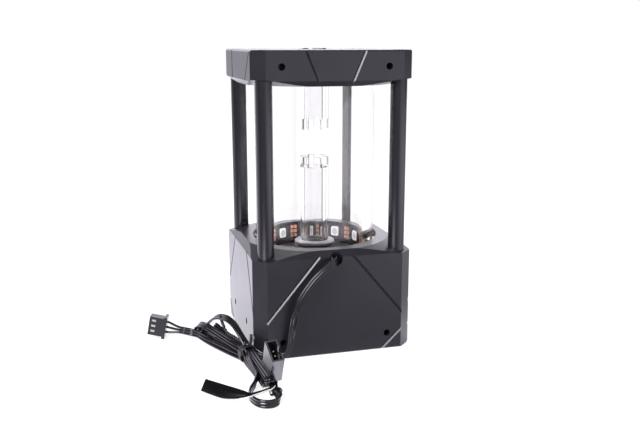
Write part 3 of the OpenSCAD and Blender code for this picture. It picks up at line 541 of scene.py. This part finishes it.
# the hank lies along two straight stretches that meet in the tie
HANK_LEFT = Vector((-60.2, -0.8))
HANK_TIE = Vector((-43.9, -38.5))
HANK_FRONT = Vector((-41.5, -72.8))
HANK_RUNS = (HANK_TIE - HANK_LEFT).normalized(), (HANK_FRONT - HANK_TIE).normalized()
BEND_START = 0.85
BEND_LENGTH = 0.3


def in_hank(station, across, height, tilt):
    """A place in the hank, with the cable's width tilted up from across it, in degrees.

    The station is 0 at the left end, 1 in the tie and 2 at the front end.
    """
    if station < 1:
        spot = HANK_LEFT.lerp(HANK_TIE, station)
    else:
        spot = HANK_TIE.lerp(HANK_FRONT, station - 1)
    bend = min(1, max(0, (station - BEND_START) / BEND_LENGTH))
    run = HANK_RUNS[0].lerp(HANK_RUNS[1], bend).normalized()
    side = Vector((-run.y, run.x))
    spot = spot + side * across
    c, s = math.cos(math.radians(tilt)), math.sin(math.radians(tilt))
    return (spot.x, spot.y, height, side.x * c, side.y * c, s)


def through_hank(*places):
    """Cable points from places in the hank, each (station, across, height, tilt)."""
    return [in_hank(*place) for place in places]


# out of the block's front and down to the floor
LEAD = [(0, -36, 48, 0, 0, 1), (0, -40, 48, 0, 0, 1), (-0.6, -42, 47.8, -0.1, 0, 1),
        (-3, -43.8, 47, -0.4, 0, 0.9), (-6, -44.6, 45.2, -0.6, 0, 0.7),
        (-9, -45, 42.8, -0.7, 0, 0.65), (-12, -45, 40, -0.75, 0, 0.6),
        (-14.6, -45, 36.8, -0.8, 0, 0.5), (-17.2, -45, 33.2, -0.85, 0, 0.45),
        (-19.4, -45, 29.6, -0.9, 0, 0.4), (-21, -45, 25.6, -0.95, 0, 0.3),
        (-22.2, -45, 21, -1, 0, 0.2), (-23, -44.8, 16, -1, -0.05, 0.15),
        (-23.8, -44.4, 11, -1, -0.2, 0.1), (-24.8, -43.8, 6.4, -0.8, -0.4, 0.3),
        (-26.8, -43.4, 3.4, -0.4, -0.4, 0.8), (-30, -43, 2.3, 0, -0.3, 1),
        (-34, -42.6, 2.4, 0, -0.2, 1), (-37.6, -41.4, 3.6, 0.1, 0.1, 1)]
# through the tie to the left end, and folded back
FIRST_RUN = through_hank((0.99, 2.9, 5.2, 78), (0.82, 1.9, 4.2, 60), (0.6, 0.9, 4.2, 40),
                         (0.4, 0.5, 4.4, 30), (0.2, 0.7, 4.3, 22), (0.07, 1.1, 4.2, 14),
                         (0.0, 1.4, 4.9, 8), (-0.005, 1.5, 6.2, 6))
# the loop that stands up loose over the hank, and down into the tie
LOOSE_LOOP = through_hank((0.04, 1.4, 7.4, 8), (0.09, 1.2, 8.9, 12), (0.15, 1.0, 10.6, 18),
                          (0.22, 0.8, 12.8, 24), (0.304, 0.6, 14.7, 28), (0.4, 0.5, 16.0, 30),
                          (0.52, 0.4, 16.7, 24), (0.64, 0.4, 16.3, 10), (0.74, 0.4, 14.8, -6),
                          (0.83, 0.4, 12.3, -16), (0.915, 0.5, 9.7, -14))
# on to the front end, and folded under
SECOND_RUN = through_hank((0.99, 0.6, 7.3, 0), (1.2, 0.9, 6.5, 12), (1.5, 1.0, 6.1, 14),
                          (1.8, 1.0, 5.9, 8), (2.0, 0.9, 5.8, 4), (2.05, 0.9, 4.9, 0),
                          (2.0, 0.8, 3.9, 0))
# back through the tie to the left end, and folded under
THIRD_RUN = through_hank((1.8, 0.8, 4.2, 0), (1.5, 0.6, 4.4, 6), (1.2, 0.0, 4.4, 8),
                         (1.0, -0.6, 4.5, 12), (0.83, -0.7, 5.6, 34), (0.633, -0.8, 6.3, 52),
                         (0.478, -0.8, 6.8, 58), (0.318, -0.8, 7.3, 60), (0.131, -0.8, 7.7, 58),
                         (0.0, -0.8, 7.3, 54), (-0.075, -0.8, 6.2, 40), (-0.1, -0.9, 4.8, 20),
                         (-0.06, -1.1, 3.4, 8))
# to the front end again
FOURTH_RUN = through_hank((0.03, -1.2, 2.7, 8), (0.2, -1.4, 2.6, 10), (0.454, -1.4, 2.8, 12),
                          (0.72, -1.3, 3.2, 12), (1.0, -0.9, 3.0, 6), (1.25, -0.4, 3.0, 4),
                          (1.5, 0, 3.0, 2), (1.8, 0.1, 2.8, 0), (1.94, 0.1, 2.5, 0),
                          (1.975, 0.1, 1.7, 0), (1.93, 0, 0.95, 0))
# and back along the floor, out of the left end towards the plug
LAST_RUN = through_hank((1.8, -0.1, 1.3, 0), (1.5, -0.4, 1.5, 0), (1.2, -0.9, 1.5, 0),
                        (1.0, -1.3, 1.5, 2), (0.72, -2.0, 1.45, 4), (0.48, -2.3, 1.5, 12),
                        (0.25, -2.7, 2.1, 40), (0.085, -3.0, 2.7, 66), (-0.01, -2.95, 2.7, 72))
TAIL = [(-65.6, 1.2, 2.8, 0.2, 0.4, 1), (-67.8, 2.0, 3.3, 0.1, 0.3, 1),
        (-70.2, 2.3, 4.0, 0, 0.2, 1)]
MAIN = LEAD + FIRST_RUN + LOOSE_LOOP + SECOND_RUN + THIRD_RUN + FOURTH_RUN + LAST_RUN + TAIL

# the other cable: folded inside the hank, out at its front, round a loop and into the header
HEADER = through_hank((0.8, 2.2, 5.6, 62), (0.55, 2.7, 5.8, 62), (0.36, 2.8, 6.6, 58),
                      (0.25, 2.7, 7.4, 54), (0.2, 2.2, 8.4, 50), (0.25, 1.5, 8.9, 50),
                      (0.35, 1.2, 8.3, 54), (0.53, 1.2, 7.0, 50), (0.7, 1.0, 6.6, 38),
                      (0.9, 0.3, 6.1, 14), (1.05, -0.8, 5.9, 20), (1.25, -1.9, 5.1, 60),
                      (1.5, -2.1, 4.2, 80), (1.72, -2.1, 3.5, 88))
HEADER += [(-45.5, -67.2, 3.0, 0.1, 0, 1), (-47.0, -71.2, 2.6, 0, 0, 1),
           (-49.2, -75.2, 2.3, 0, 0, 1), (-50.5, -79.2, 2.2, 0, 0, 1), (-50.6, -83.4, 2.2, 0, 0, 1),
           (-49.2, -87.8, 2.2, 0, 0, 1), (-46.5, -90.4, 2.2, 0, 0, 1), (-43.2, -91.0, 2.2, 0, 0, 1),
           (-40.4, -89.4, 2.2, 0.05, 0, 1), (-38.9, -86.4, 2.3, 0.35, 0, 1),
           (-38.9, -82.8, 2.5, 0.8, 0, 0.6), (-39.2, -79.2, 2.5, 1, 0.1, 0.3),
           (-39.1, -75.8, 2.3, 1, 0.1, 0.1), (-38.7, -72.4, 2.6, 1, 0.1, 0.1),
           (-38, -69.9, 3.7, 1, 0.1, 0.2), (-38.4, -68.7, 5.4, 1, 0.1, 0.2),
           (-38.5, -68.8, 7.3, 1, 0.1, 0.1)]


def core_arc(centre, start, stop, count):
    """Points on a core's round outline, between two angles in degrees."""
    angles = [math.radians(start + (stop - start) * k / (count - 1)) for k in range(count)]
    return [(centre + CORE_R * math.cos(a), CORE_R * math.sin(a)) for a in angles]


# outline of three round cores side by side, joined where they touch
THREE_CORES = (core_arc(CORE_PITCH, -148, 148, 11) + core_arc(0, 32, 148, 7)
               + core_arc(-CORE_PITCH, 32, 328, 11) + core_arc(0, 212, 328, 7))
ONE_CORE = core_arc(0, 0, 324, 10)


def wires_to_plug(bm, start, side):
    """The three cores part and enter the plug one above the other. Gives the middle one's path."""
    if side.z < 0:
        side = -side
    paths = []
    for k in (-1, 0, 1):
        line = []
        for i in range(WIRE_STEPS + 1):
            t = i / WIRE_STEPS
            ease = t * t * (3 - 2 * t)
            offset = (side * k * CORE_PITCH).lerp(PLUG_UP * k * PLUG_PITCH, ease)
            sag = math.sin(math.pi * t) * (WIRE_SAG + WIRE_SAG_MORE * k)
            line.append((*(start.lerp(PLUG_FACE, t) + offset - UP * sag), *PLUG_UP))
        frames = frames_along(line)
        sweep(bm, frames, ONE_CORE)
        paths.append([place for place, _, _ in frames])
    return paths[1]


def flat_cable(name, line, wires=False):
    """A cable along a line, its wires parted at the far end if asked, and its path in metres."""
    bm = bmesh.new()
    frames = frames_along(line)
    sweep(bm, frames, THREE_CORES)
    path = [place for place, _, _ in frames]
    if wires:
        path += wires_to_plug(bm, *frames[-1][:2])[1:]
    return new_object(name, bm, sheath), [tuple(place * MM) for place in path]


main_cable, main_path = flat_cable("cable_main", smooth_line(MAIN, MAIN_STEP), wires=True)
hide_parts("led_lead", "cable_hank", "loose_loop", "plug_tail")
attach(main_cable, BODY)

header_cable, header_path = flat_cable("cable_header", smooth_line(HEADER, HEADER_STEP))
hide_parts("header_tail")
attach(header_cable, BODY)


# ---------------------------------------------------------------- label flag

FLAG_STEP = 0.9
FLAG_T = 0.2
BACK_T = 0.12
RIB_SWELL = 1.3          # the film is this much thicker along its middle
# the flag between its lower and upper edge, from its free end to the cable
FLAG = [((-70.2, -68.5, 1.5), (-67.8, -67.8, 6.5)), ((-66.7, -74.4, 1.9), (-64.1, -72.4, 6.6)),
        ((-62.8, -80.1, 2.3), (-60.1, -77.4, 6.7)), ((-59.4, -83.3, 3.0), (-56.8, -80.9, 6.6)),
        ((-56.0, -85.4, 3.7), (-53.6, -84.3, 6.4)), ((-53.6, -86.2, 4.4), (-51.3, -85.8, 5.9)),
        ((-48.1, -84.5, 4.7), (-47.1, -84.0, 5.5)), ((-44.3, -83.0, 4.8), (-43.7, -82.2, 5.4)),
        ((-41.3, -81.5, 4.9), (-40.7, -80.7, 5.5))]
# the pale back half under it
BACK = [((-56.4, -86.2, 3.6), (-56.3, -86.0, 4.1)), ((-53.6, -86.8, 4.0), (-53.5, -86.6, 4.5)),
        ((-48.1, -85.1, 4.2), (-48.0, -84.9, 4.7)), ((-44.3, -83.5, 4.3), (-44.2, -83.3, 4.8)),
        ((-41.3, -82.0, 4.4), (-41.2, -81.8, 4.9)), ((-39.6, -80.6, 5.0), (-39.5, -80.4, 5.5))]
# the label's turn round the flat cable
WRAP = [(-41.4, -81.4, 5.2, 0.3, 0.5, 0.8), (-40.6, -80.6, 4.6, 0.1, 0.9, 0.4),
        (-39.4, -80.1, 3.9, 0, 1, 0.1), (-37.6, -79.8, 3.6, 0, 1, 0), (-36.5, -79.6, 2.9, 0, 1, 0),
        (-36.8, -79.6, 1.9, 0, 1, 0), (-38.9, -79.7, 1.2, 0, 1, 0), (-41.1, -79.8, 1.0, 0, 1, 0),
        (-42.0, -80.2, 2.0, 0, 0.9, 0.3), (-41.9, -80.9, 3.6, 0.1, 0.7, 0.6)]
WRAP_STEP = 0.5
WRAP_HALF_WIDTH = 1.0
WRAP_HALF_T = 0.09


def ribbon_between(bm, edges, thickness, material):
    """A thin strip between a lower and an upper edge."""
    line = smooth_line([low + high for low, high in edges], FLAG_STEP)
    frames, halves = [], []
    for i, p in enumerate(line):
        low, high = Vector(p[:3]), Vector(p[3:])
        before, after = line[max(i - 1, 0)], line[min(i + 1, len(line) - 1)]
        run = Vector(after[:3]) + Vector(after[3:]) - Vector(before[:3]) - Vector(before[3:])
        width = high - low
        frames.append(((low + high) / 2, width.normalized(), run.cross(width).normalized()))
        halves.append(width.length / 2)
    t = thickness / 2
    sweep(bm, frames, lambda i: [(-halves[i], -t), (0, -RIB_SWELL * t), (halves[i], -t),
                                 (halves[i], t), (0, RIB_SWELL * t), (-halves[i], t)], material)


def make_flag():
    """The black half of a film label, its pale back half and its turn round the cable."""
    bm = bmesh.new()
    ribbon_between(bm, FLAG, FLAG_T, 0)
    ribbon_between(bm, BACK, BACK_T, 1)
    u, v = WRAP_HALF_WIDTH, WRAP_HALF_T
    sweep(bm, frames_along(smooth_line(WRAP, WRAP_STEP)), [(-u, -v), (u, -v), (u, v), (-u, v)])
    flag = new_object("label_flag_film", bm, label_face, label_back)
    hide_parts("label_flag")
    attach(flag, BODY)
    return flag


# ---------------------------------------------------------------- twist tie

# a flat ribbon with the wire as a swelling along its middle
TIE_SECTION = [(-0.75, -0.18), (-0.25, -0.3), (0.25, -0.3), (0.75, -0.18),
               (0.75, 0.18), (0.25, 0.3), (-0.25, 0.3), (-0.75, 0.18)]
TIE_HEIGHT = 4.25        # the middle of the hank in the tie
TIE_R = 3.95             # half the outside of its squarish turns
TIE_SQUARENESS = 3
TIE_SWELL = 0.03
TIE_TURNS = 2.3
TIE_STEPS = 84
TIE_START = math.radians(70)
TIE_LENGTH = 2.6         # from its first turn to its last, along the hank
TIE_STEP = 0.5
# the thin end that runs back along the hank, twisted, and up over the loose loop
TIE_TAIL = [(-43.6, -39.4, 8.6), (-44.9, -37, 8.9), (-46.8, -32.8, 9.2), (-48.8, -28, 9.6),
            (-50.2, -24.4, 9.4), (-51.2, -21.6, 10), (-52.2, -19.4, 12.4), (-53, -17.9, 15),
            (-53.5, -16.8, 17.2)]
TAIL_ACROSS = (0.9, 0.42)
TAIL_TWIST = math.radians(50)
TAIL_TWIST_STEPS = 44
# the short end that stands up
TIE_END = [(-43.2, -39.6, 8.6), (-42.6, -39.6, 10), (-42.0, -38.4, 12), (-41.8, -37.6, 13.4)]
END_WIDTH = (0.9, 0.4, 0.1)


def tie_turns():
    """The tie's line round the hank, with its width along the hank."""
    run = (HANK_RUNS[0] + HANK_RUNS[1]).normalized()
    across, along = Vector((-run.y, run.x, 0)), Vector((run.x, run.y, 0))
    centre = Vector((*HANK_TIE, TIE_HEIGHT))
    line = []
    for i in range(TIE_STEPS + 1):
        share = i / TIE_STEPS
        a = 2 * math.pi * TIE_TURNS * share + TIE_START
        c, s = math.cos(a), math.sin(a)
        r = TIE_R * (abs(c) ** TIE_SQUARENESS + abs(s) ** TIE_SQUARENESS) ** (-1 / TIE_SQUARENESS)
        swell = 1 + TIE_SWELL * math.sin(3 * a)
        onward = TIE_LENGTH * (share - 0.5)
        line.append((*(centre + across * (r * c * swell) + UP * (r * s) + along * onward), *along))
    return line


def tie_tail():
    """The tie's tail, its width turned on from point to point."""
    line = []
    for i, place in enumerate(smooth_line(TIE_TAIL, TIE_STEP)):
        twist = TAIL_TWIST * min(i, TAIL_TWIST_STEPS)
        across = (math.cos(twist) * part for part in TAIL_ACROSS)
        line.append((*place, *across, math.sin(twist)))
    return line


def make_tie():
    """A twist tie: its turns round the hank, its tail and its short end."""
    bm = bmesh.new()
    sweep(bm, frames_along(tie_turns()), TIE_SECTION)
    sweep(bm, frames_along(tie_tail(), free_twist=True), TIE_SECTION)
    end = [(*place, *END_WIDTH) for place in smooth_line(TIE_END, TIE_STEP)]
    sweep(bm, frames_along(end), TIE_SECTION)
    tie = new_object("twist_tie_wire", bm, tie_plastic)
    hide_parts("twist_tie")
    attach(tie, BODY)
    return tie


flag = make_flag()
tie = make_tie()


# ---------------------------------------------------------------- light ring

STRIP_R = 32.19          # the strip's inner face
STRIP_Z = 42.0
STRIP_W = 10.0
STRIP_MIDDLE = STRIP_Z + STRIP_W / 2
CHIP_COUNT = 11
CHIP_TURN = 360 / CHIP_COUNT
CHIP_PHASE = 17.5
CHIP_R = 30.8            # the chips' inner face
CHIP_W = 5.0
CHIP_T = 1.3
CHIP_EDGE = 0.12
CHIP_SIDES = 28
# radius and depth of the sunk window's steps: its rim, the foot of its wall and two on the lens
WINDOW = [(2.0, 0), (1.9, 0.12), (1.2, 0.16), (0.5, 0.18)]
# legs, pads and resistor: width along the ring, height and depth outwards
LEG_SIZE = (0.34, 0.9, 0.5)
LEG_DEPTH = 0.75
LEG_PITCH = 1.6
PAD_SIZE = (2.0, 1.75, 0.3)
PAD_RISE = 0.16
PAD_PITCH = 2.4
# printed marks: place from the middle between two chips, and size
MARKS = [(-3.7, 3.2, 0.7, 0.35), (-3.7, -3.1, 0.35, 0.7), (3.7, 3.2, 0.35, 0.35),
         (3.6, 0.2, 0.6, 0.6), (3.7, -3.2, 0.7, 0.35), (-3.6, 0.4, 0.6, 0.6)]
MARK_RISE = 0.1
MARK_T = 0.25
RESISTOR_AT = (3.7, -1.6)
RESISTOR_SIZE = (0.8, 1.5, 0.6)
RESISTOR_RISE = 0.5
RESISTOR_CAP = (0.84, 0.3, 0.62)
RESISTOR_CAP_RISE = 0.53
RESISTOR_CAP_AT = 0.62   # from the resistor's middle


def around(bm, angle, radius, u, z):
    """A vertex by angle and radius, moved by u along the ring and by z from the strip's middle."""
    a = math.radians(angle)
    outward, along = Vector((math.cos(a), math.sin(a), 0)), Vector((-math.sin(a), math.cos(a), 0))
    return bm.verts.new((outward * radius + along * u + UP * (STRIP_MIDDLE + z)) * MM)


def box_on_ring(bm, angle, radius, u, z, size, material):
    """A small block: its inner face at the radius. The size is width, height and depth outwards."""
    width, height, depth = size
    corners = [around(bm, angle, radius + d, u + su * width / 2, z + sz * height / 2)
               for d in (0, depth) for sz in (-1, 1) for su in (-1, 1)]
    for quad in ((0, 1, 3, 2), (4, 6, 7, 5), (0, 4, 5, 1), (2, 3, 7, 6), (0, 2, 6, 4),
                 (1, 5, 7, 3)):
        bm.faces.new([corners[i] for i in quad]).material_index = material


def chip_ring(bm, angle, radius, size, square=False):
    """A round or square outline of as many points, parallel to the chip's face."""
    ring = []
    for i in range(CHIP_SIDES):
        a = 2 * math.pi * i / CHIP_SIDES
        c, s = math.cos(a), math.sin(a)
        reach = size / max(abs(c), abs(s)) if square else size
        ring.append(around(bm, angle, radius, reach * c, reach * s))
    return ring


def make_chip(bm, angle):
    """A square chip with a bevelled rim, a sunk round window and three legs on each side."""
    half = CHIP_W / 2
    body = [chip_ring(bm, angle, CHIP_R + CHIP_T, half, square=True),
            chip_ring(bm, angle, CHIP_R + CHIP_EDGE, half, square=True),
            chip_ring(bm, angle, CHIP_R, half - CHIP_EDGE, square=True)]
    window = [chip_ring(bm, angle, CHIP_R + depth, size) for size, depth in WINDOW]
    rings = body + window
    lens_from = len(body) + 1
    for n, (outer, inner) in enumerate(zip(rings, rings[1:])):
        for i in range(CHIP_SIDES):
            j = (i + 1) % CHIP_SIDES
            face = bm.faces.new((outer[i], outer[j], inner[j], inner[i]))
            face.material_index = 1 if n >= lens_from else 0
    bm.faces.new(rings[-1]).material_index = 1
    bm.faces.new(list(reversed(rings[0])))
    for side in (-1, 1):
        for row in (-1, 0, 1):
            box_on_ring(bm, angle, CHIP_R + LEG_DEPTH, side * (half + CHIP_EDGE), row * LEG_PITCH,
                        LEG_SIZE, 2)


def make_chips():
    """The light chips, evenly round the ring."""
    bm = bmesh.new()
    for k in range(CHIP_COUNT):
        make_chip(bm, CHIP_PHASE + CHIP_TURN * k)
    bmesh.ops.recalc_face_normals(bm, faces=bm.faces)
    chips = new_object("light_chips", bm, chip_white, chip_window, tinned)
    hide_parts("led_chips")
    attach(chips, BODY)


def make_strip_detail():
    """Pairs of solder pads in three rows, printed marks and a small resistor with tinned ends."""
    bm = bmesh.new()
    for k in range(CHIP_COUNT):
        middle = CHIP_PHASE + CHIP_TURN * (k + 0.5)
        for row in (-1, 0, 1):
            for side in (-1, 1):
                box_on_ring(bm, middle, STRIP_R - PAD_RISE, side * PAD_PITCH / 2, row * PAD_PITCH,
                            PAD_SIZE, 0)
        for u, z, width, height in MARKS:
            box_on_ring(bm, middle, STRIP_R - MARK_RISE, u, z, (width, height, MARK_T), 1)
        u, z = RESISTOR_AT
        box_on_ring(bm, middle, STRIP_R - RESISTOR_RISE, u, z, RESISTOR_SIZE, 2)
        for end in (-RESISTOR_CAP_AT, RESISTOR_CAP_AT):
            box_on_ring(bm, middle, STRIP_R - RESISTOR_CAP_RISE, u, z + end, RESISTOR_CAP, 3)
    bmesh.ops.recalc_face_normals(bm, faces=bm.faces)
    detail = new_object("strip_detail", bm, copper, print_white, film_dark, tinned)
    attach(detail, BODY)


make_chips()
make_strip_detail()
